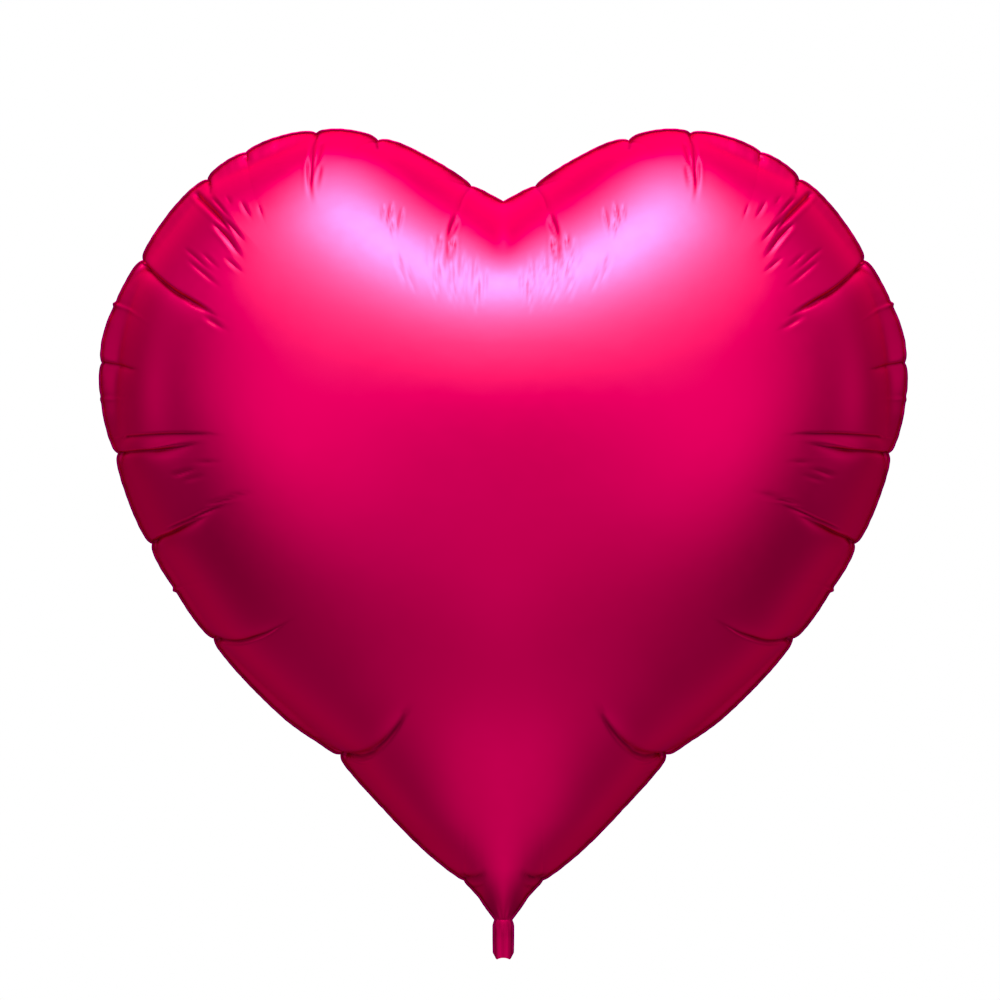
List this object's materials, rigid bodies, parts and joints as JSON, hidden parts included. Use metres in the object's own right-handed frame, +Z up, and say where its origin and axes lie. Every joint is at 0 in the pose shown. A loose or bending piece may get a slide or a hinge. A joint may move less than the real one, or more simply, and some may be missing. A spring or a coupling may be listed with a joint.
{
  "type": "foil balloon",
  "caption": "Heart-shaped inflated foil balloon with a welded rim, a folding filling tail at its lower tip and a self-sealing valve inside.",
  "frame": {"origin": "middle of the neck, where the filling tail meets the lower tip of the heart and where the balloon is tied", "axes": "+Z up from the neck through the notch, +X across the lobes to the viewer's right, front panel towards -Y"},
  "size_m": [1.5582, 0.84, 1.5994],
  "materials": {
    "foil": "satin metallised film",
    "weld": "pressed heat seal",
    "valve_film": "clear flexible film",
    "release_ink": "matte printed coat"
  },
  "bodies": {
    "heart": {"front_panel": "foil", "back_panel": "foil", "rim_weld": "weld"},
    "tail": {"tail_front": "foil", "tail_back": "foil", "tail_weld_left": "weld", "tail_weld_right": "weld", "valve_inlet_front": "valve_film", "valve_inlet_back": "valve_film", "valve_tack_front": "weld", "valve_tack_back": "weld"},
    "valve_tongue": {"valve_tongue_front": "valve_film", "valve_tongue_back": "valve_film", "valve_seal_left": "valve_film", "valve_seal_right": "valve_film", "release_coat": "release_ink"}
  },
  "joints": [
    {"name": "tail_fold", "type": "hinge", "parent": "heart", "child": "tail", "pos_m": [0, 0, 0], "axis": [1, 0, 0], "range_deg": [-100, 100]},
    {"name": "valve_tongue_bend", "type": "hinge", "parent": "heart", "child": "valve_tongue", "pos_m": [0, 0, 0.004], "axis": [1, 0, 0], "range_deg": [-20, 20], "stiffness_Nm_per_rad": 0.005}
  ]
}
